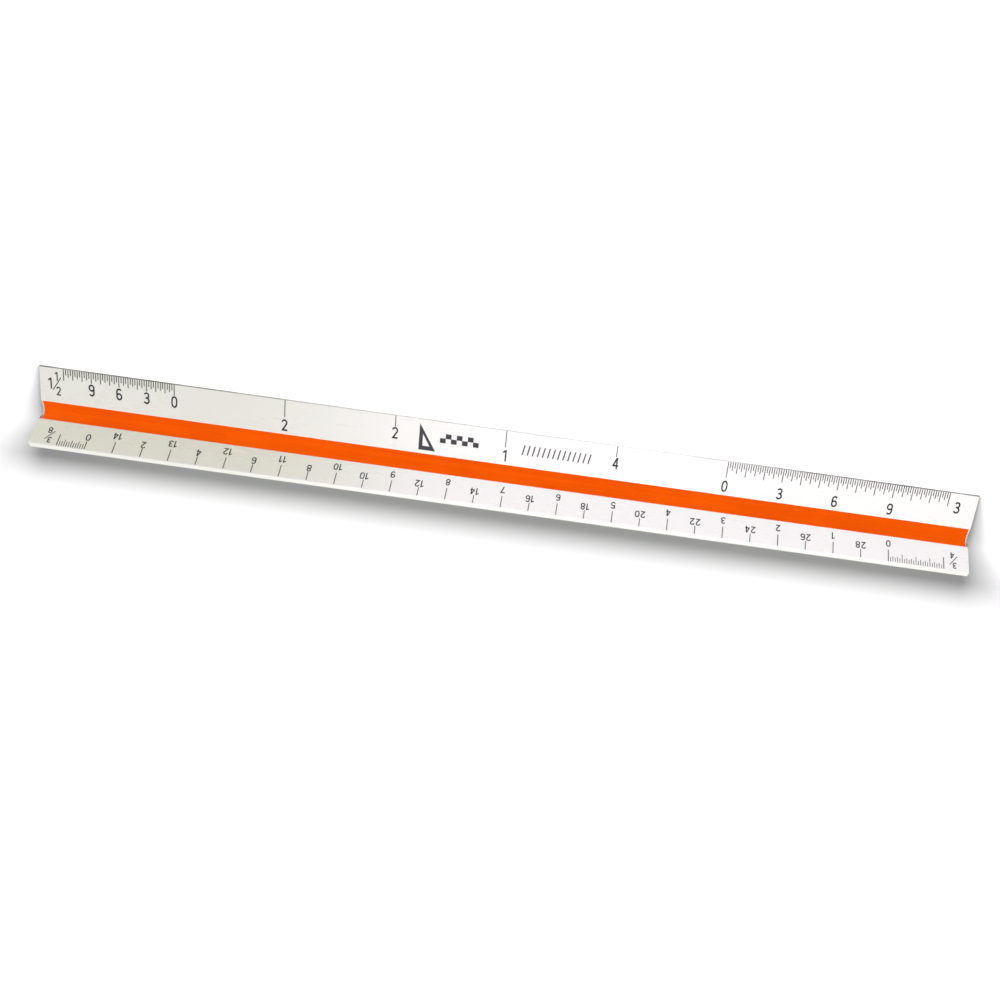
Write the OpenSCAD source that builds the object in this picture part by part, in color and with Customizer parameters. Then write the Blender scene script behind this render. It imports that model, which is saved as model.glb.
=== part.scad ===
// Twelve-inch triangular architect's scale: a white bar with three fluted faces,
// a colour-coded stripe in each flute, and eleven scales printed on its six facets.
// Frame: X along the bar, Z up, origin under the middle of the bar on the table it rests on.
// Every facet is printed in its own reading frame: x runs left to right from the bar's left end,
// y = 0 is the facet's outer edge, the groove lies at negative y, and z points out of the plastic.

/* [Bar] */
// Overall length of the bar
bar_length = 323; // [321:1:330]
// Width of a face, from one outer corner to the other
face_width = 26.8; // [26.4:0.1:30]
// Width of the blunt nose along each ridge
nose_width = 1.2; // [0.6:0.1:1.6]
// Width of the narrow flat land on each side of a nose
land_width = 0.3; // [0.2:0.1:0.5]
// Depth of a facet below its face, where it meets the groove
facet_depth = 2.8; // [2.4:0.1:3.4]

/* [Groove] */
// Width of the round groove, lip to lip
groove_width = 6.4; // [5.8:0.1:6.8]
// Depth of the groove below its lips
groove_sag = 1.7; // [1.4:0.1:2.2]
// Thickness of the paint in the groove
stripe_thickness = 0.12; // [0.08:0.01:0.3]
// Bare white rim left between the paint and the groove's lips
stripe_lip_rim = 0.12; // [0.05:0.01:0.5]
// Bare white rim left between the paint and the ends of the bar
stripe_end_rim = 0.35; // [0.1:0.05:2]

/* [Printing] */
// Thickness of the printed ink
ink_thickness = 0.04; // [0.03:0.01:0.08]
// Width of the graduation lines
fine_line = 0.2; // [0.1:0.01:0.25]
// Width of the graduation lines of the two largest scales
bold_line = 0.27; // [0.15:0.01:0.3]
// Width of the lines that mark whole feet
foot_line = 0.27; // [0.15:0.01:0.3]
// Width of a numeral, as a share of its height
numeral_aspect = 0.58; // [0.5:0.01:0.7]
// Stroke width of a numeral, as a share of its height
numeral_stroke = 0.135; // [0.1:0.005:0.15]

/* [Hidden] */

inch = 25.4;
graduated = 12;                                     // inches of graduation on every edge
cut = 0.5;                                          // how far a cutting shape runs past the part
body_colour = [0.95, 0.95, 0.93];
ink_colour = [0.22, 0.22, 0.24];
orange = [0.96, 0.36, 0.02];
green = [0.10, 0.50, 0.24];
blue = [0.10, 0.30, 0.66];

half_face = face_width / 2;
tip_width = face_width + 2 * nose_width;            // side of the triangle with sharp ridges
inradius = tip_width / (2 * sqrt(3));               // from the bar's axis to a face plane
facet_run = half_face - land_width - groove_width / 2;
facet_angle = atan(facet_depth / facet_run);
valley_depth = facet_depth + groove_width / 2 * tan(facet_angle);
groove_r = (pow(groove_width / 2, 2) + pow(groove_sag, 2)) / (2 * groove_sag);
groove_z = inradius - facet_depth - groove_sag + groove_r;

// Turn of each face about the bar's axis, from facing straight up
FRONT = 60;
REAR = -60;
BASE = 180;
// Which of a face's two facets a print lies on
UPPER = 0;
LOWER = 180;

// ---------- bar ----------

// Corners of one face's outline, in the plane across the bar, with the face pointing up
function face_outline() = [
    [-half_face, inradius],
    [-half_face + land_width, inradius],
    [0, inradius - valley_depth],
    [half_face - land_width, inradius],
    [half_face, inradius]
];
function turned(p, a) = [p[0] * cos(a) - p[1] * sin(a), p[0] * sin(a) + p[1] * cos(a)];

// Puts a shape drawn for an upward face onto the face turned by the given angle
module on_face(turn) {
    translate([0, 0, inradius]) rotate([turn, 0, 0]) children();
}

// Runs a shape drawn in the plane across the bar along the bar, to the same length either way
module along_bar(length) {
    rotate([90, 0, 90]) translate([0, 0, -length / 2]) linear_extrude(length) children();
}

module ruler_body() {
    color(body_colour) difference() {
        translate([0, 0, inradius]) along_bar(bar_length)
            polygon([for (turn = [FRONT, REAR, BASE]) for (p = face_outline()) turned(p, turn)]);
        for (turn = [FRONT, REAR, BASE]) on_face(turn)
            translate([-bar_length / 2 - cut, 0, groove_z]) rotate([0, 90, 0])
                cylinder(r = groove_r, h = bar_length + 2 * cut, $fn = 96);
    }
}

// The film of paint that lines a groove, with a narrow bare rim all round it
module groove_stripe(turn, paint) {
    paint_half = groove_width / 2 - stripe_lip_rim;
    color(paint) on_face(turn) along_bar(bar_length - 2 * stripe_end_rim)
        intersection() {
            translate([0, groove_z]) difference() {
                circle(r = groove_r, $fn = 96);
                circle(r = groove_r - stripe_thickness, $fn = 96);
            }
            translate([-paint_half, groove_z - groove_r - cut])
                square([2 * paint_half, groove_sag + cut]);
        }
}

module front_groove_stripe() groove_stripe(FRONT, orange);
module rear_groove_stripe() groove_stripe(REAR, green);
module base_groove_stripe() groove_stripe(BASE, blue);

// ---------- numerals ----------

function unit(v) = v / norm(v);
function left_of(v) = [-v[1], v[0]];
// Points along an oval's arc. $arc_steps is set by number(), so that large numerals have finer curves
function oval_point(c, r, a) = c + [r[0] * cos(a), r[1] * sin(a)];
function arc(c, r, from, to) =
    [for (i = [0:$arc_steps]) oval_point(c, r, from + (to - from) * i / $arc_steps)];

// A path moved sideways by d, with mitred corners
function beside(path, d, closed = false) = [
    for (i = [0:len(path) - 1]) let (
        n = len(path),
        last = path[(i + n - 1) % n],
        next = path[(i + 1) % n],
        into = !closed && i == 0 ? unit(next - path[i]) : unit(path[i] - last),
        out = !closed && i == n - 1 ? into : unit(next - path[i]),
        bisector = unit(left_of(into) + left_of(out))
    ) path[i] + bisector * d / (bisector * left_of(into))
];
function backwards(list) = [for (i = [len(list) - 1:-1:0]) list[i]];

// Numerals are one unit high and stand on y = 0; their strokes' middle lines keep inside these limits
low = numeral_stroke / 2;
high = 1 - low;
right = numeral_aspect - low;
mid = numeral_aspect / 2;
rx = mid - low;
one_width = 0.36;                                   // the 1 is narrower than the rest

// A pen stroke along a path, and one that runs all the way round an anticlockwise path
module stroke(path) {
    polygon(concat(beside(path, low), backwards(beside(path, -low))));
}
module closed_stroke(path) {
    difference() {
        polygon(beside(path, -low, true));
        polygon(beside(path, low, true));
    }
}

module ring(c, r) {
    steps = 2 * $arc_steps;
    closed_stroke([for (i = [1:steps]) oval_point(c, r, 360 * i / steps)]);
}

module numeral(d) {
    if (d == 0) {
        round_end = arc([0, 0], [rx, 0.30], 0, 180);
        closed_stroke(concat([for (p = round_end) [mid, high - 0.30] + p],
                             [for (p = round_end) [mid, low + 0.30] - p]));
    }
    if (d == 1) polygon([
        [one_width - 2 * low, 0], [one_width, 0], [one_width, 1], [one_width - 1.6 * low, 1],
        [0, 0.84], [0, 0.72], [one_width - 2 * low, 0.81]
    ]);
    if (d == 2) stroke(concat(arc([mid, 0.71], [rx, 0.225], 170, -32),
                              [[low + 0.05, low], [numeral_aspect, low]]));
    if (d == 3) {
        waist = 0.515;
        upper = arc([mid - 0.02, 0.725], [rx - 0.015, high - 0.725], 155, -90);
        lower = arc([mid - 0.02, waist - 0.225], [rx + 0.015, 0.225], 90, -155);
        stroke(concat(upper, [[mid - 0.12, waist]]));
        stroke(concat([[mid - 0.12, waist]], lower));
    }
    if (d == 4) {
        stroke([[mid + 0.10, 0.97], [low + 0.02, 0.30], [numeral_aspect, 0.30]]);
        stroke([[mid + 0.13, 0], [mid + 0.13, 1]]);
    }
    if (d == 5) {
        stroke([[numeral_aspect - 0.05, high], [low + 0.04, high], [low + 0.02, 0.46]]);
        stroke(arc([mid - 0.01, 0.33], [rx + 0.01, 0.268], 138, -155));
    }
    if (d == 6) numeral_six();
    if (d == 7) stroke([[0.02, high], [right, high], [mid - 0.08, 0]]);
    if (d == 8) {
        ring([mid, 0.285], [rx, 0.2225]);
        ring([mid, 0.72], [rx - 0.03, high - 0.72]);
    }
    if (d == 9) translate([numeral_aspect, 1]) rotate(180) numeral_six();
}

module numeral_six() {
    ring([mid, 0.30], [rx, 0.2375]);
    stroke(concat([[low + 0.012, 0.39]], arc([mid, 0.69], [rx, high - 0.69], 180, 35)));
}

gap = 0.15;                                         // space between numerals, in numeral heights
function digits(n) = n < 10 ? [n] : concat(digits(floor(n / 10)), [n % 10]);
function numeral_width(d) = d == 1 ? one_width : numeral_aspect;
// Where the i-th numeral of a row starts, from the row's left end
function starts_at(row, i) = i == 0 ? 0 : starts_at(row, i - 1) + numeral_width(row[i - 1]) + gap;
function width_of(n) = starts_at(digits(n), len(digits(n))) - gap;

// A whole number, centred on x, with the numerals' tops at y = 0
module number(n, height) {
    row = digits(n);
    $arc_steps = round(2.7 * height);
    scale(height) translate([-width_of(n) / 2, -1])
        for (i = [0:len(row) - 1]) translate([starts_at(row, i), 0]) numeral(row[i]);
}

// A fraction, its top at y = 0, with a slanted bar whose middle is on x. The upper number ends a
// little right of the bar's middle, and the lower one starts a little left of it
module fraction(top, bottom, height) {
    reach = 0.13 * height;                          // from the bar's middle to those ends
    drop = 1.64 * height;                           // from the top of one number to the top of the other
    bar = [[0.55, -0.57], [-0.55, -2.07]] * height;
    half_bar = left_of(unit(bar[1] - bar[0])) * 0.35 * numeral_stroke * height;
    translate([reach - width_of(top) * height / 2, 0]) number(top, height);
    translate([width_of(bottom) * height / 2 - reach, -drop]) number(bottom, height);
    polygon([bar[0] + half_bar, bar[0] - half_bar, bar[1] - half_bar, bar[1] + half_bar]);
}

// ---------- graduations ----------

// Puts ink drawn flat, in a facet's reading frame, onto that facet
module on_facet(turn, side) {
    color(ink_colour) on_face(turn) rotate(side)
        translate([-bar_length / 2, half_face - land_width, inradius]) rotate([facet_angle, 0, 0])
            linear_extrude(ink_thickness) children();
}

// Bare plastic left of the graduations on each facet; the right-hand margin is what remains
one_and_a_half_margin = 8.3;
three_quarter_margin = 8.7;
hidden_margin = (bar_length - graduated * inch) / 2;

// Bare plastic between the lines and the facet's edge, enough to keep the ink from standing proud
edge_gap = 0.02 + ink_thickness / tan(facet_angle);
module line(x, length, width) {
    translate([x - width / 2, -length]) square([width, length - edge_gap]);
}

function whole(x) = abs(x - round(x)) < 0.001;

// lengths holds the lines at 0, at 12 and at each 3 inches, then inches, halves, quarters and eighths
function line_length(inches, lengths) =
    inches == 0 ? lengths[0] :
    whole(inches / 12) ? lengths[1] :
    whole(inches / 3) ? lengths[2] :
    whole(inches) ? lengths[3] :
    whole(inches * 2) ? lengths[4] :
    whole(inches * 4) ? lengths[5] : lengths[6];

// One of the two scales that share an edge. foot is the length that stands for a foot, in inches,
// and twin_foot is its twin's. The foot at the scale's own end is divided into inches, and marks for
// whole feet run from its zero towards the other end. Twins share the marks out: every mark of the
// larger scale falls between two of the smaller one, which therefore marks even feet only.
module architects_scale(
    foot, twin_foot, at_left, margin, divisions, lengths, mark_length,
    label_step, row_y, numeral_height, inch_labels = [], weight = fine_line
) {
    flip = at_left ? 1 : -1;
    start = margin + (at_left ? 0 : graduated * inch);
    function place(feet) = start + flip * (1 + feet) * foot * inch;
    for (i = [0:divisions])
        line(place(-i / divisions), line_length(12 * i / divisions, lengths),
             i % divisions == 0 ? foot_line : weight);
    mark_step = foot < twin_foot ? 2 : 1;
    feet = floor((graduated - twin_foot - foot) / foot);
    for (k = [mark_step:mark_step:feet]) line(place(k), mark_length, foot_line);
    for (k = [0:label_step:feet]) translate([place(k), -row_y]) number(k, numeral_height);
    for (i = inch_labels) translate([place(-i / 12), -row_y]) number(i, numeral_height);
}

sign_offset = 3.4;                                  // from the graduations' end to the middle of a sign
module sign_at(at_left, margin, y) {
    x = at_left ? margin - sign_offset : margin + graduated * inch + sign_offset;
    translate([x, -y]) children();
}

module three_inch_scale() on_facet(FRONT, LOWER) {
    architects_scale(foot = 3, twin_foot = 1.5, at_left = false, margin = one_and_a_half_margin,
        divisions = 96, lengths = [5.0, 4.4, 4.2, 4.2, 3.4, 2.6, 1.9], mark_length = 5.2,
        label_step = 1, row_y = 5.95, numeral_height = 3.5, inch_labels = [3, 6, 9],
        weight = bold_line);
    sign_at(false, one_and_a_half_margin, 2.65) number(3, 3.6);
}

module one_and_a_half_inch_scale() on_facet(FRONT, LOWER) {
    architects_scale(foot = 1.5, twin_foot = 3, at_left = true, margin = one_and_a_half_margin,
        divisions = 48, lengths = [3.4, 3.6, 3.3, 3.1, 2.5, 1.9], mark_length = 3.4,
        label_step = 2, row_y = 3.6, numeral_height = 3.55, inch_labels = [3, 6, 9],
        weight = bold_line);
    sign_at(true, one_and_a_half_margin, 1.25) {
        translate([-1.4, -1.9]) number(1, 3.3);
        translate([1.0, 0]) fraction(1, 2, 2.65);
    }
}

module three_quarter_inch_scale() on_facet(FRONT, UPPER) {
    architects_scale(foot = 0.75, twin_foot = 0.375, at_left = true, margin = three_quarter_margin,
        divisions = 24, lengths = [4.7, 4.8, 3.5, 2.3, 1.8], mark_length = 4.8,
        label_step = 1, row_y = 5.95, numeral_height = 2.7);
    sign_at(true, three_quarter_margin, 0.75) fraction(3, 4, 2.45);
}

module three_eighths_inch_scale() on_facet(FRONT, UPPER) {
    architects_scale(foot = 0.375, twin_foot = 0.75, at_left = false, margin = three_quarter_margin,
        divisions = 12, lengths = [3.4, 4.8, 2.9, 2.1], mark_length = 3.5,
        label_step = 2, row_y = 3.75, numeral_height = 2.75);
    sign_at(false, three_quarter_margin, 0.75) fraction(3, 8, 2.45);
}

module one_inch_scale() on_facet(REAR, LOWER) {
    architects_scale(foot = 1, twin_foot = 0.5, at_left = false, margin = hidden_margin,
        divisions = 48, lengths = [4.8, 4.8, 3.5, 3.0, 2.3, 1.7], mark_length = 4.8,
        label_step = 1, row_y = 5.95, numeral_height = 2.8, inch_labels = [3, 6, 9]);
    sign_at(false, hidden_margin, 2.6) number(1, 3.4);
}

module half_inch_scale() on_facet(REAR, LOWER) {
    architects_scale(foot = 0.5, twin_foot = 1, at_left = true, margin = hidden_margin,
        divisions = 24, lengths = [3.4, 4.6, 3.0, 2.3, 1.7], mark_length = 3.4,
        label_step = 2, row_y = 3.7, numeral_height = 2.8);
    sign_at(true, hidden_margin, 0.75) fraction(1, 2, 2.45);
}

module quarter_inch_scale() on_facet(REAR, UPPER) {
    architects_scale(foot = 0.25, twin_foot = 0.125, at_left = false, margin = hidden_margin,
        divisions = 12, lengths = [4.7, 4.7, 2.8, 1.9], mark_length = 4.7,
        label_step = 2, row_y = 5.8, numeral_height = 2.3);
    sign_at(false, hidden_margin, 0.75) fraction(1, 4, 2.35);
}

module eighth_inch_scale() on_facet(REAR, UPPER) {
    architects_scale(foot = 0.125, twin_foot = 0.25, at_left = true, margin = hidden_margin,
        divisions = 6, lengths = [2.8, 4.6, 2.6, 1.9, 1.9], mark_length = 2.8,
        label_step = 4, row_y = 3.2, numeral_height = 2.3);
    sign_at(true, hidden_margin, 0.75) fraction(1, 8, 2.35);
}

module three_sixteenths_scale() on_facet(BASE, UPPER) {
    architects_scale(foot = 0.1875, twin_foot = 0.09375, at_left = false, margin = hidden_margin,
        divisions = 12, lengths = [4.7, 4.7, 2.8, 1.9], mark_length = 4.7,
        label_step = 2, row_y = 5.8, numeral_height = 2.2);
    sign_at(false, hidden_margin, 0.75) fraction(3, 16, 2.2);
}

module three_thirty_seconds_scale() on_facet(BASE, UPPER) {
    architects_scale(foot = 0.09375, twin_foot = 0.1875, at_left = true, margin = hidden_margin,
        divisions = 6, lengths = [2.8, 4.6, 2.6, 1.9, 1.9], mark_length = 2.8,
        label_step = 4, row_y = 3.2, numeral_height = 2.2);
    sign_at(true, hidden_margin, 0.75) fraction(3, 32, 2.2);
}

// Plain inches divided into sixteenths
module full_size_scale() on_facet(BASE, LOWER) {
    parts = 16;
    lengths = [5.0, 4.0, 3.2, 2.5, 1.9];            // inch, half, quarter, eighth, sixteenth
    for (i = [0:graduated * parts])
        let (step = [for (s = [0:4]) if (whole(i * pow(2, s) / parts)) s][0])
            line(hidden_margin + i * inch / parts, lengths[step], step == 0 ? foot_line : fine_line);
    for (i = [1:graduated - 1]) translate([hidden_margin + i * inch, -5.5]) number(i, 3.2);
    sign_at(true, hidden_margin, 2.0) number(parts, 3.2);
}

square_foot = 9.4;                                  // from the facet's edge down to the set square's foot
square_x = 131;
square_size = [5.8, 8.0];
square_arm = 1.25;
band_top = 3.7;                                     // from the facet's edge to the two bands' tops
chequer_x = 138.2;
chequer = [1.9, 1.4];
chequers = 7;
join = 0.05;                                        // overlap that joins neighbouring chequers
hatch_x = 166.5;
hatch_pitch = 1.75;
hatches = 14;
hatch = [0.42, 3.0];
hatch_lean = 0.65;

// A set square, a band of chequers and a band of slanted hatching, in the room between the foot marks
module generic_imprint() on_facet(FRONT, LOWER) {
    window = [square_size[0] * 0.54, square_size[1] * 0.54];
    translate([square_x, -square_foot]) difference() {
        polygon([[0, 0], [square_size[0], 0], [0, square_size[1]]]);
        translate([square_arm, square_arm])
            polygon([[0, 0], [window[0] - square_arm / 2, 0], [0, window[1] - square_arm / 2]]);
    }
    for (i = [0:chequers - 1])
        translate([chequer_x + i * chequer[0], -band_top - (2 - i % 2) * chequer[1]])
            square([chequer[0] + join, chequer[1] + join]);
    for (i = [0:hatches - 1])
        translate([hatch_x + i * hatch_pitch, -band_top - hatch[1]])
            polygon([[0, 0], [hatch[0], 0], hatch + [hatch_lean, 0], [hatch_lean, hatch[1]]]);
}

ruler_body();
front_groove_stripe();
rear_groove_stripe();
base_groove_stripe();
three_inch_scale();
one_and_a_half_inch_scale();
three_quarter_inch_scale();
three_eighths_inch_scale();
one_inch_scale();
half_inch_scale();
quarter_inch_scale();
eighth_inch_scale();
three_sixteenths_scale();
three_thirty_seconds_scale();
full_size_scale();
generic_imprint();
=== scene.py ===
"""A twelve-inch triangular architect's scale in white plastic, lying on one face on a white table.

The bar and the paint in its three grooves are built here as smooth meshes that stand for the CAD
nodes. The printed scales are the CAD nodes themselves, finished as ink. Lengths are in metres,
or in millimetres times MM.
"""

import math

import bmesh
import bpy
from mathutils import Matrix, Vector


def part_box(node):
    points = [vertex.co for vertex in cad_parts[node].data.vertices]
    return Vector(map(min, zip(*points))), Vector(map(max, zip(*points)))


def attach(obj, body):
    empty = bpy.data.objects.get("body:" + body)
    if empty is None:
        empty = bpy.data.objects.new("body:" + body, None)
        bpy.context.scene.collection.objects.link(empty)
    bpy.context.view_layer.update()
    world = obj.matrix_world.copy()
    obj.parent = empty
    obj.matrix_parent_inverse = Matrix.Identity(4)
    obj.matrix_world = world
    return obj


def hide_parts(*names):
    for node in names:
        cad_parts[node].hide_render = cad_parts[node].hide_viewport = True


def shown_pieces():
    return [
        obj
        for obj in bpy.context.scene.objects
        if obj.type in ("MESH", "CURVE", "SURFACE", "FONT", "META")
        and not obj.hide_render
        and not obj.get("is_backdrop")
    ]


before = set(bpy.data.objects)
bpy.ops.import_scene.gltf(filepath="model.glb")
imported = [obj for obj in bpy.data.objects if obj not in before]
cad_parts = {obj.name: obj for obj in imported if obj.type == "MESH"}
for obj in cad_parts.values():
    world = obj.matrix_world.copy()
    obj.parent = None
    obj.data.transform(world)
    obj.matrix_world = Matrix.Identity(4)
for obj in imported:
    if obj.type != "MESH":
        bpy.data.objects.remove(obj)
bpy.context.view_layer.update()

MM = 0.001

# ---------------------------------------------------------------------------
# Sizes: the section of the bar
# ---------------------------------------------------------------------------

NOSE_WIDTH = 1.2 * MM          # flat along each ridge
LAND_WIDTH = 0.3 * MM          # narrow flat on each side of a nose
FACET_DEPTH = 2.8 * MM         # how far a facet has sunk where it meets the groove
GROOVE_HALF = 3.2 * MM
GROOVE_SAG = 1.7 * MM
END_ROUND = 0.12 * MM          # radius left round the sawn ends

# How far the rounding of each edge reaches along the flats before and after it
SHARP = (0.0, 0.0)
NOSE_TO_LAND = (0.45 * MM, 0.16 * MM)
LAND_TO_FACET = (0.10 * MM, 0.20 * MM)
LIP = (0.10 * MM, 0.10 * MM)

bar_low, bar_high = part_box("ruler_body")
BAR_LENGTH = bar_high.x - bar_low.x
BAR_WIDTH = bar_high.y - bar_low.y
HALF_FACE = (BAR_WIDTH - NOSE_WIDTH) / 2
INRADIUS = (BAR_WIDTH + NOSE_WIDTH) / (2 * math.sqrt(3))     # from the bar's axis to a face
AXIS_Z = bar_low.z + INRADIUS
GROOVE_R = (GROOVE_HALF ** 2 + GROOVE_SAG ** 2) / (2 * GROOVE_SAG)
GROOVE_CENTRE = INRADIUS - FACET_DEPTH - GROOVE_SAG + GROOVE_R
GROOVE_TURN = math.asin(GROOVE_HALF / GROOVE_R)              # half the groove's arc
GROOVE_STEPS = 28
CORNER_STEPS = 6
END_STEPS = 4                  # round a sawn end
BAR_SPANS = 40                 # along the bar

# Turn of each face about the bar's axis, from facing straight up
FACES = {"front": math.radians(60), "rear": math.radians(-60), "base": math.radians(180)}

# Where the plastic's painted shades begin and where they are full
WARM_SHADE_X = (20 * MM, 75 * MM)                                  # painted warm shade, towards one end
WARM_SHADE_Z = (9 * MM, 13 * MM)                                   # and towards the top
TOP_RIDGE_Z = (bar_high.z - 1.2 * MM, bar_high.z - 0.5 * MM)    # the top ridge, left without the painted warm shade
SHADE_LINE_X = (40 * MM, 130 * MM)                             # painted dark shade line, towards both ends
SHADE_LINE_Y = (BAR_WIDTH / 2 - 0.34 * MM, BAR_WIDTH / 2 - 0.20 * MM)    # on the lower ridges

# Film of paint in a groove
PAINT_THICKNESS = 0.12 * MM
PAINT_RIM = 0.12 * MM          # bare plastic between the paint and a lip
PAINT_END_RIM = 0.35 * MM      # and between the paint and an end of the bar
PAINT_BITE = 0.02 * MM         # how far the film is let into the plastic
PAINT_END_TAPER = 0.4 * MM
PAINT_WANDER = 0.006           # of its edges, in radians of the groove's arc
PAINT_ACROSS = 24
PAINT_ALONG = 160


def on_section(turn, u, w):
    """A point u across a face and w out from the bar's axis, as (y, z) in the row frame."""
    return Vector((u * math.cos(turn) - w * math.sin(turn),
                   u * math.sin(turn) + w * math.cos(turn) + AXIS_Z))


def groove_point(angle, radius=GROOVE_R):
    """(u, w) on the groove's circle, angle 0 at its bottom."""
    return radius * math.sin(angle), GROOVE_CENTRE - radius * math.cos(angle)


# ---------------------------------------------------------------------------
# Mesh helpers
# ---------------------------------------------------------------------------

def new_piece(name, bm, materials, smooth_angle=None):
    """Makes an object of a bmesh, with its normals pointing out."""
    bmesh.ops.recalc_face_normals(bm, faces=bm.faces)
    mesh = bpy.data.meshes.new(name)
    bm.to_mesh(mesh)
    bm.free()
    for material in materials:
        mesh.materials.append(material)
    obj = bpy.data.objects.new(name, mesh)
    bpy.context.scene.collection.objects.link(obj)
    if smooth_angle is not None:
        mesh.shade_smooth()
        mesh.set_sharp_from_angle(angle=smooth_angle)
    return obj


def loft(bm, rings):
    """Joins closed rings of points into a closed skin, and returns its two end caps."""
    rows = [[bm.verts.new(p) for p in ring] for ring in rings]
    for row, following in zip(rows, rows[1:]):
        for i in range(len(row)):
            j = (i + 1) % len(row)
            bm.faces.new((row[i], row[j], following[j], following[i]))
    return [bm.faces.new(row) for row in (rows[0], rows[-1])]


def rounded(corners):
    """A closed outline with each (point, reaches) corner turned into a smooth curve."""
    outline = []
    for i, (corner, (before, after)) in enumerate(corners):
        if before == 0:
            outline.append(corner)
            continue
        start = corner + (corners[i - 1][0] - corner).normalized() * before
        end = corner + (corners[(i + 1) % len(corners)][0] - corner).normalized() * after
        for k in range(CORNER_STEPS + 1):
            t = k / CORNER_STEPS
            outline.append(start * (1 - t) ** 2 + corner * 2 * t * (1 - t) + end * t ** 2)
    return outline


def inset(outline, distance):
    """A closed outline moved inwards along its mitred corners. The outline runs clockwise."""
    moved = []
    for i, point in enumerate(outline):
        into = (point - outline[i - 1]).normalized()
        out = (outline[(i + 1) % len(outline)] - point).normalized()
        normal = Vector((into.y + out.y, -(into.x + out.x))).normalized()
        moved.append(point + normal * distance / max(normal.dot(Vector((into.y, -into.x))), 0.5))
    return moved


# ---------------------------------------------------------------------------
# Procedural materials
# ---------------------------------------------------------------------------

class Nodes:
    """Short calls for building a material's node tree."""

    def __init__(self, name):
        self.material = bpy.data.materials.new(name)
        self.material.use_nodes = True
        self.tree = self.material.node_tree
        self.shader = self.tree.nodes["Principled BSDF"]
        self.place = self.tree.nodes.new("ShaderNodeTexCoord").outputs["Object"]

    def put(self, socket, value):
        """Feeds a socket from another socket, or sets it to a plain value."""
        if isinstance(value, bpy.types.NodeSocket):
            self.tree.links.new(value, socket)
        else:
            socket.default_value = value

    def set(self, **inputs):
        for name, value in inputs.items():
            self.put(self.shader.inputs[name.replace("_", " ")], value)

    def scaled(self, scale):
        node = self.tree.nodes.new("ShaderNodeMapping")
        node.inputs["Scale"].default_value = scale
        self.put(node.inputs["Vector"], self.place)
        return node.outputs["Vector"]

    def noise(self, scale, detail=3.0, roughness=0.55):
        """Noise with the given number of features per metre along X, Y and Z."""
        node = self.tree.nodes.new("ShaderNodeTexNoise")
        self.put(node.inputs["Vector"], self.scaled(scale))
        node.inputs["Scale"].default_value = 1.0
        node.inputs["Detail"].default_value = detail
        node.inputs["Roughness"].default_value = roughness
        return node.outputs["Fac"]

    def ramp(self, value, low, high, to_low=0.0, to_high=1.0):
        """Maps low..high to to_low..to_high, clamped and eased."""
        node = self.tree.nodes.new("ShaderNodeMapRange")
        node.interpolation_type = "SMOOTHSTEP"
        self.put(node.inputs["Value"], value)
        for name, number in (("From Min", low), ("From Max", high),
                             ("To Min", to_low), ("To Max", to_high)):
            node.inputs[name].default_value = number
        return node.outputs["Result"]

    def math(self, operation, a, b=0.0, c=0.0):
        """One arithmetic step on sockets or numbers."""
        node = self.tree.nodes.new("ShaderNodeMath")
        node.operation = operation
        for socket, value in zip(node.inputs, (a, b, c)):
            self.put(socket, value)
        return node.outputs["Value"]

    def mix(self, factor, a, b):
        node = self.tree.nodes.new("ShaderNodeMix")
        node.data_type = "RGBA"
        self.put(node.inputs["Factor"], factor)
        self.put(node.inputs["A"], a)
        self.put(node.inputs["B"], b)
        return node.outputs["Result"]

    def coordinate(self, axis):
        node = self.tree.nodes.new("ShaderNodeSeparateXYZ")
        self.put(node.inputs["Vector"], self.place)
        return node.outputs[axis]

    def bump(self, height, distance, under=None):
        """A normal tilted by height, on top of the normal under it if there is one."""
        node = self.tree.nodes.new("ShaderNodeBump")
        node.inputs["Distance"].default_value = distance
        self.put(node.inputs["Height"], height)
        if under is not None:
            self.put(node.inputs["Normal"], under)
        return node.outputs["Normal"]


def scratches(nodes, per_metre, width):
    """Fine straight hairlines: the middle level of a stretched noise, kept only in patches."""
    line = nodes.math("ABSOLUTE", nodes.math("SUBTRACT", nodes.noise(per_metre, 1.0), 0.5))
    hairline = nodes.ramp(line, 0.0, width, 1.0, 0.0)
    patch = nodes.ramp(nodes.noise((90, 260, 260), 2.0), 0.56, 0.70)
    return nodes.math("MULTIPLY", hairline, patch)


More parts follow.
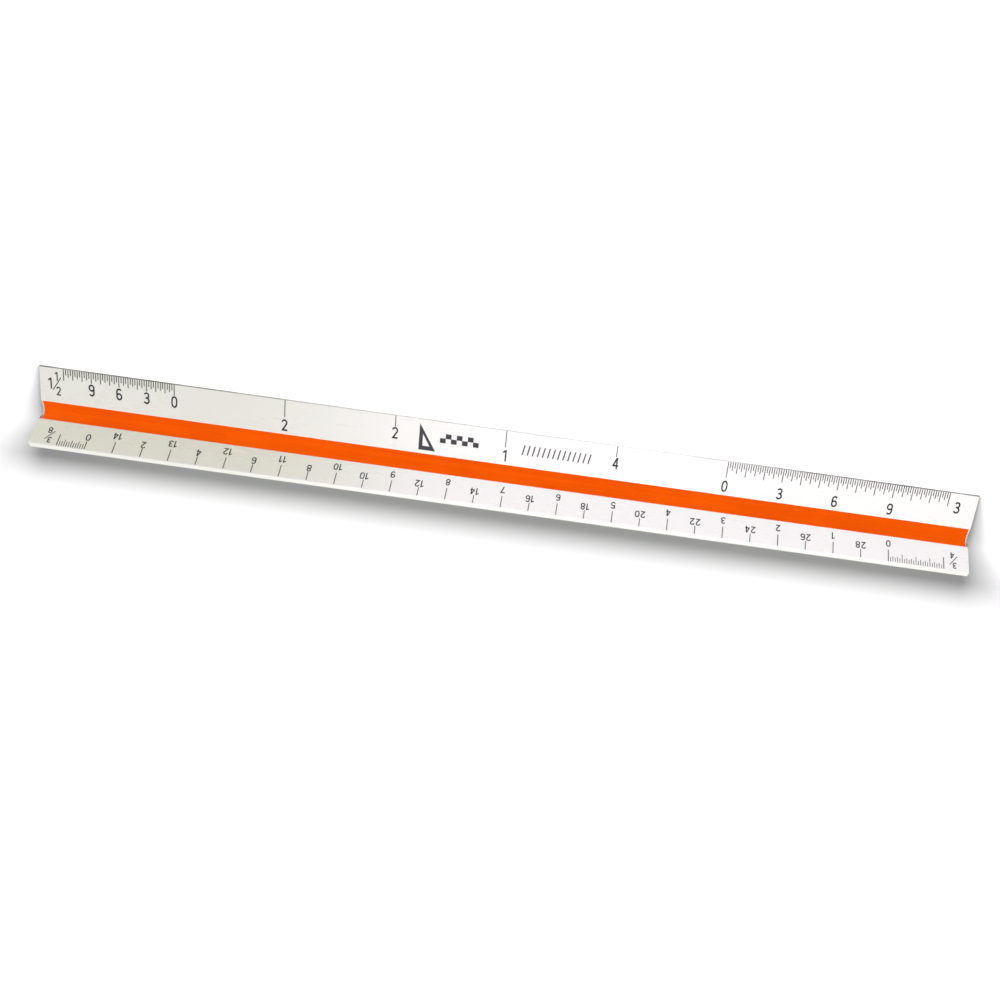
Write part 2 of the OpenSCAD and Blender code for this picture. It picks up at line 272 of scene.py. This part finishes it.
def white_plastic():
    """Extruded white styrene: glossy, with faint die lines along the bar and handling marks.

    The upper half has a painted warm shade, a little yellower, at the end towards +X, except on its top
    ridge. The lower ridges have a painted dark shade line, most of it near the ends.
    """
    n = Nodes("white_styrene")
    tone = n.noise((9, 60, 60), 4.0)
    grime = n.ramp(n.noise((45, 220, 220), 5.0, 0.65), 0.58, 0.80, 0.0, 0.15)
    white = n.mix(tone, (0.860, 0.855, 0.785, 1), (0.885, 0.880, 0.820, 1))
    warm_shaded_white = n.mix(tone, (0.865, 0.848, 0.725, 1), (0.890, 0.873, 0.755, 1))
    x, y, z = (n.coordinate(axis) for axis in "XYZ")
    # Painted warm shade: a yellower white on the upper half towards +X, not on the top ridge.
    warm_shade_mask = n.math("MULTIPLY", n.ramp(z, *WARM_SHADE_Z), n.ramp(x, *WARM_SHADE_X))
    below_top_ridge = n.ramp(z, *TOP_RIDGE_Z, 1.0, 0.0)
    with_warm_shade = n.mix(n.math("MULTIPLY", warm_shade_mask, below_top_ridge), white, warm_shaded_white)
    handled_and_warm_shaded = n.mix(grime, with_warm_shade, (0.66, 0.64, 0.58, 1))
    # Painted shade: a near-black line along the lower ridges, strongest near the ends.
    on_ridge = n.ramp(n.math("ABSOLUTE", y), *SHADE_LINE_Y)
    near_ends = n.ramp(n.math("ABSOLUTE", x), *SHADE_LINE_X, 0.35, 0.95)
    patchy = n.ramp(n.noise((70, 0, 0), 4.0, 0.6), 0.3, 0.65, 0.6, 1.0)
    painted_ridge_shade = n.math("MULTIPLY", on_ridge, n.math("MULTIPLY", near_ends, patchy))
    n.set(Base_Color=n.mix(painted_ridge_shade, handled_and_warm_shaded, (0.09, 0.09, 0.10, 1)))
    marks = scratches(n, (140, 1900, 900), 0.010)
    smear = n.noise((30, 120, 120), 5.0, 0.7)
    n.set(Roughness=n.math("ADD", n.ramp(smear, 0.3, 0.75, 0.23, 0.36), n.math("MULTIPLY", marks, 0.25)))
    die_lines = n.bump(n.noise((6, 3800, 3800), 2.0), 0.004 * MM)
    waves = n.bump(n.noise((14, 170, 170), 2.0), 0.02 * MM, under=die_lines)
    n.set(Normal=n.bump(marks, -0.004 * MM, under=waves))
    n.set(IOR=1.55, Subsurface_Weight=0.12, Subsurface_Scale=0.6 * MM)
    n.shader.inputs["Subsurface Radius"].default_value = (1.0, 0.9, 0.75)
    return n.material


def sawn_plastic():
    """The cut ends: the same plastic, dulled by a fine saw that ran across the bar."""
    n = Nodes("sawn_styrene")
    kerf = n.noise((400, 500, 9000), 3.0, 0.6)
    n.set(Base_Color=n.mix(n.ramp(kerf, 0.35, 0.7), (0.80, 0.795, 0.76, 1), (0.87, 0.865, 0.835, 1)))
    n.set(Roughness=n.ramp(kerf, 0.3, 0.7, 0.42, 0.62), IOR=1.55)
    n.set(Normal=n.bump(kerf, 0.025 * MM))
    return n.material


def groove_paint(name, colour, deep):
    """Gloss paint rolled into a groove: pools slightly darker, with long brush-like streaks."""
    n = Nodes(name)
    streak = n.noise((12, 1500, 1500), 3.0, 0.6)
    pool = n.noise((60, 90, 90), 3.0)
    uneven = n.math("MULTIPLY_ADD", streak, 0.5, n.math("MULTIPLY", pool, 0.5))
    n.set(Base_Color=n.mix(n.ramp(uneven, 0.4, 0.62), colour, deep))
    marks = scratches(n, (110, 1500, 1500), 0.009)
    n.set(Roughness=n.math("ADD", n.ramp(pool, 0.3, 0.7, 0.44, 0.54), n.math("MULTIPLY", marks, 0.15)))
    ripple = n.bump(n.noise((160, 700, 700), 3.0), 0.012 * MM)
    n.set(Normal=n.bump(streak, 0.006 * MM, under=ripple), Specular_IOR_Level=0.02)
    return n.material


def ink(name, colour, worn):
    """Printed ink: a thin semi-matte film, a little uneven, thinned by rubbing in small patches."""
    n = Nodes(name)
    speckle = n.noise((5200, 5200, 5200), 3.0, 0.7)
    rubbed = n.ramp(n.noise((160, 420, 420), 5.0, 0.7), 0.58, 0.85)
    fade = n.math("MULTIPLY", rubbed, n.ramp(speckle, 0.35, 0.65))
    n.set(Base_Color=n.mix(fade, colour, worn))
    n.set(Roughness=n.ramp(speckle, 0.3, 0.7, 0.42, 0.60), IOR=1.48)
    n.set(Normal=n.bump(speckle, 0.008 * MM))
    return n.material


# ---------------------------------------------------------------------------
# The bar
# ---------------------------------------------------------------------------

def bar_outline():
    """The whole section, clockwise, as (point, reaches of its rounding) pairs."""
    corners = []
    lip_w = INRADIUS - FACET_DEPTH
    for turn in FACES.values():
        def at(u, w, reaches=SHARP):
            corners.append((on_section(turn, u, w), reaches))
        at(-HALF_FACE, INRADIUS, NOSE_TO_LAND)
        at(-HALF_FACE + LAND_WIDTH, INRADIUS, LAND_TO_FACET)
        at(-GROOVE_HALF, lip_w, LIP)
        for k in range(1, GROOVE_STEPS):
            at(*groove_point(GROOVE_TURN * (2 * k / GROOVE_STEPS - 1)))
        at(GROOVE_HALF, lip_w, LIP)
        at(HALF_FACE - LAND_WIDTH, INRADIUS, LAND_TO_FACET[::-1])
        at(HALF_FACE, INRADIUS, NOSE_TO_LAND[::-1])
    return corners


def build_bar(plastic, sawn):
    """The bar, lofted through sections that shrink a little towards its two sawn ends."""
    outline = rounded(bar_outline())
    straight = BAR_LENGTH / 2 - END_ROUND
    far_end = []                                             # (x, how far the outline is inset there)
    for k in range(END_STEPS):
        a = math.pi / 2 * k / END_STEPS
        far_end.append((straight + END_ROUND * math.cos(a), END_ROUND * (1 - math.sin(a))))
    near_end = [(-x, shrink) for x, shrink in far_end]
    middle = [(straight * (2 * k / BAR_SPANS - 1), 0.0) for k in range(BAR_SPANS + 1)]
    bm = bmesh.new()
    caps = loft(bm, [[(x, p.x, p.y) for p in inset(outline, shrink)]
                     for x, shrink in near_end + middle + far_end[::-1]])
    for cap in caps:
        cap.material_index = 1
    bmesh.ops.triangulate(bm, faces=caps)
    return new_piece("plastic_bar", bm, [plastic, sawn], math.radians(40))


# ---------------------------------------------------------------------------
# Paint in the grooves
# ---------------------------------------------------------------------------

def wander(x, phase):
    """A slow wander between -1 and 1 along the bar, for the hand-made edge of a paint line."""
    return (math.sin(x * 61 + phase) + math.sin(x * 173 + 2.1 * phase) + math.sin(x * 419 + 3.7 * phase)) / 3


def build_paint(face, material):
    """The film of paint in a face's groove, thinning towards its edges and ends."""
    turn = FACES[face]
    edge = math.asin((GROOVE_HALF - PAINT_RIM) / GROOVE_R)
    phase = 1.0 + turn                                       # a different wander in each groove
    half = BAR_LENGTH / 2 - PAINT_END_RIM
    rings = []
    for k in range(PAINT_ALONG + 1):
        x = -half + 2 * half * k / PAINT_ALONG
        taper = min(1.0, (half - abs(x)) / PAINT_END_TAPER + 0.25)
        left = -edge + PAINT_WANDER * wander(x, phase)
        right = edge + PAINT_WANDER * wander(x, phase + 2.0)
        top, bottom = [], []
        for i in range(PAINT_ACROSS + 1):
            t = i / PAINT_ACROSS
            angle = left + (right - left) * t
            brim = math.sqrt(max(0.0, 1 - (2 * t - 1) ** 6))
            film = PAINT_THICKNESS * taper * (0.12 + 0.80 * brim)
            top.append(groove_point(angle, GROOVE_R - film))
            bottom.append(groove_point(angle, GROOVE_R + PAINT_BITE))
        loop = top + bottom[::-1]
        rings.append([(x, *on_section(turn, u, w)) for u, w in loop])
    bm = bmesh.new()
    loft(bm, rings)
    return new_piece(f"{face}_groove_paint", bm, [material], math.radians(50))


plastic_bar = build_bar(white_plastic(), sawn_plastic())
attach(plastic_bar, "root")
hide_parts("ruler_body")

PAINTS = {
    "front": ("orange_paint", (0.900, 0.110, 0.0, 1), (0.835, 0.095, 0.0, 1)),
    "rear": ("green_paint", (0.020, 0.235, 0.065, 1), (0.014, 0.180, 0.050, 1)),
    "base": ("blue_paint", (0.015, 0.075, 0.400, 1), (0.010, 0.055, 0.320, 1)),
}
paints = []
for face, (slot, colour, deep) in PAINTS.items():
    paint = build_paint(face, groove_paint(slot, colour, deep))
    paints.append(paint)
    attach(paint, "root")
    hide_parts(f"{face}_groove_stripe")

scale_ink = ink("scale_ink", (0.018, 0.018, 0.020, 1), (0.14, 0.14, 0.14, 1))
imprint_ink = ink("imprint_ink", (0.060, 0.060, 0.068, 1), (0.16, 0.16, 0.17, 1))
for name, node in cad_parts.items():
    if name.endswith("_scale"):
        printed, slot = scale_ink, "black_ink"
    elif name == "generic_imprint":
        printed, slot = imprint_ink, "imprint_ink"
    else:
        continue
    node.data.materials.clear()
    node.data.materials.append(printed)

# ---------------------------------------------------------------------------
# Table, light and camera
# ---------------------------------------------------------------------------

CAMERA_X = -32.5 * MM
CAMERA_UP_FACE = 125 * MM      # from the middle of the front face towards the top ridge
CAMERA_DISTANCE = 233.6 * MM   # from the front face's plane
CAMERA_TILT = math.radians(7.918)
CAMERA_LENS = 24.73            # in millimetres, like the sensor
CAMERA_SENSOR = 36
LENS_SHIFT = {"shift_x": -0.0481, "shift_y": 0.3463}

TABLE_REACH = 6.0
TABLE_GAP = 0.02 * MM          # under the bar, so that the two do not touch
TABLE_SPLIT = CAMERA_X         # where the two halves of the table meet, straight across from the camera
TABLE_KEY_HEIGHT = math.radians(43.5)
TABLE_KEY_ENERGY = 3.75
TABLE_KEY_BLUR = math.radians(16.5)
# Each half's keys, as (share of the light, sideways slant) pairs
LEFT_KEYS = ((0.6, 0.8), (0.4, 1.17))
RIGHT_KEYS = ((0.55, -0.62), (0.45, -0.96))

SPOT_AIM = Vector((-75 * MM, 0, 12 * MM))
SPOT_DISTANCE = 0.5
SPOT_HEIGHT = math.radians(18)
SPOT_COLOUR = (1.0, 0.91, 1.22)
WORLD_LIGHT = 0.16             # light the white surroundings give, seen at a brightness of 1


def white_table():
    """A matt white table top, with a barely visible mottle."""
    n = Nodes("white_table")
    n.set(Base_Color=n.mix(n.noise((7, 7, 7), 3.0), (0.93, 0.93, 0.93, 1), (0.95, 0.95, 0.95, 1)))
    n.set(Roughness=0.9, Specular_IOR_Level=0.1)
    n.set(Normal=n.bump(n.noise((900, 900, 900), 2.0), 0.01 * MM))
    return n.material


def build_table_half(side, low_x, high_x, material):
    bm = bmesh.new()
    z = bar_low.z - TABLE_GAP
    corners = ((low_x, -TABLE_REACH), (high_x, -TABLE_REACH), (high_x, TABLE_REACH), (low_x, TABLE_REACH))
    bm.faces.new([bm.verts.new((x, y, z)) for x, y in corners])
    half = new_piece(f"table_{side}", bm, [material])
    half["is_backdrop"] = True
    return half


def group(name, objects):
    """A collection that a light can be limited to."""
    collection = bpy.data.collections.new(name)
    for obj in objects:
        collection.objects.link(obj)
    return collection


def add_light(name, kind, energy, towards, only, location=(0, 0, 0), colour=(1, 1, 1), **shape):
    """A light that shines in the direction towards, on the pieces of one collection only."""
    light = bpy.data.lights.new(name, kind)
    light.energy = energy
    light.color = colour
    for attribute, value in shape.items():
        setattr(light, attribute, value)
    obj = bpy.data.objects.new(name, light)
    obj.location = location
    obj.rotation_mode = "QUATERNION"
    obj.rotation_quaternion = Vector(towards).to_track_quat("-Z", "Y")
    obj.light_linking.receiver_collection = only
    bpy.context.scene.collection.objects.link(obj)


def falling(height, sideways=0.0):
    """Light travelling away from the camera's side, from this angle above the table."""
    return Vector((sideways, math.cos(height), -math.sin(height)))


def light_scene(table_halves):
    """Soft studio light. The table's key is lower than the ruler's, for a shadow that shows behind it.

    Each half of the table is lit outwards by its own keys, so that the shadow is as long as the ruler
    and fades past its end.
    """
    scene = bpy.context.scene
    scene.view_settings.view_transform = "Standard"
    on_table = group("lit_table", [half for half, keys in table_halves])
    on_paint = group("lit_paint", paints)
    on_print_and_plastic = group("lit_print_and_plastic", [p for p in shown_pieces() if p not in paints])
    on_plastic = group("lit_plastic", [plastic_bar])
    for half, keys in table_halves:
        on_half = group(f"lit_{half.name}", [half])
        for i, (share, sideways) in enumerate(keys):
            slant = math.hypot(1, sideways)                  # evens out the keys' light and blur
            add_light(f"{half.name}_key_{i}", "SUN", TABLE_KEY_ENERGY * share * slant,
                      falling(TABLE_KEY_HEIGHT, sideways), on_half, angle=TABLE_KEY_BLUR / slant)
    add_light("table_dome", "SUN", 0.45, (0, 0, -1), on_table, angle=math.radians(120))
    add_light("ruler_key", "SUN", 2.4, falling(math.radians(84)), on_print_and_plastic,
              angle=math.radians(30))
    add_light("ruler_fill", "SUN", 0.65, falling(math.radians(120)), on_print_and_plastic,
              angle=math.radians(40))
    for side, elevation in (("front", 30), ("rear", 150)):
        add_light(f"paint_{side}", "SUN", 2.4, falling(math.radians(elevation)), on_paint,
                  angle=math.radians(140))
    throw = SPOT_DISTANCE * falling(SPOT_HEIGHT)
    add_light("spot", "SPOT", 3.05, throw, on_plastic, SPOT_AIM - throw, SPOT_COLOUR,
              spot_size=math.radians(32), spot_blend=0.3, shadow_soft_size=0.04)
    world = bpy.data.worlds.new("studio")
    scene.world = world
    world.use_nodes = True
    tree = world.node_tree
    background = tree.nodes["Background"]
    seen = tree.nodes.new("ShaderNodeLightPath").outputs["Is Camera Ray"]
    strength = tree.nodes.new("ShaderNodeMapRange")
    strength.inputs["To Min"].default_value = WORLD_LIGHT
    strength.inputs["To Max"].default_value = 1.0
    tree.links.new(seen, strength.inputs["Value"])
    tree.links.new(strength.outputs["Result"], background.inputs["Strength"])
    background.inputs["Color"].default_value = (1, 1, 1, 1)


def place_camera():
    """Looks square on to the front face, from over its floor side, with the bar tilted in the picture.

    The picture's centre is off the lens axis, so the lens is shifted. A driver drops the shift when
    the camera is moved to look from anywhere else.
    """
    along = Vector((1, 0, 0))
    normal = Vector((0, -math.sin(FACES["front"]), math.cos(FACES["front"])))
    up_face = normal.cross(along)
    centre = Vector((0, 0, AXIS_Z)) + normal * INRADIUS
    right = -math.cos(CAMERA_TILT) * along - math.sin(CAMERA_TILT) * up_face
    up = math.sin(CAMERA_TILT) * along - math.cos(CAMERA_TILT) * up_face

    camera = bpy.data.cameras.new("camera")
    camera.sensor_width = CAMERA_SENSOR
    camera.lens = CAMERA_LENS
    camera.clip_start, camera.clip_end = 0.01, 30
    obj = bpy.data.objects.new("camera", camera)
    obj.location = centre + along * CAMERA_X + up_face * CAMERA_UP_FACE + normal * CAMERA_DISTANCE
    obj.rotation_mode = "QUATERNION"
    obj.rotation_quaternion = Matrix((right, up, normal)).transposed().to_quaternion()
    bpy.context.scene.collection.objects.link(obj)
    bpy.context.scene.camera = obj

    for path, shift in LENS_SHIFT.items():
        driver = camera.driver_add(path).driver
        driver.type = "SCRIPTED"
        for name, axis in (("x", "LOC_X"), ("z", "LOC_Z")):
            variable = driver.variables.new()
            variable.name = name
            variable.type = "TRANSFORMS"
            variable.targets[0].id = obj
            variable.targets[0].transform_type = axis
        at_home = f"(abs(x - {obj.location.x:.5f}) < 0.0001 and abs(z - {obj.location.z:.5f}) < 0.0001)"
        driver.expression = f"{shift} if {at_home} else 0"


table_top = white_table()
light_scene([
    (build_table_half("left", TABLE_SPLIT, TABLE_REACH, table_top), LEFT_KEYS),
    (build_table_half("right", -TABLE_REACH, TABLE_SPLIT, table_top), RIGHT_KEYS),
])
place_camera()
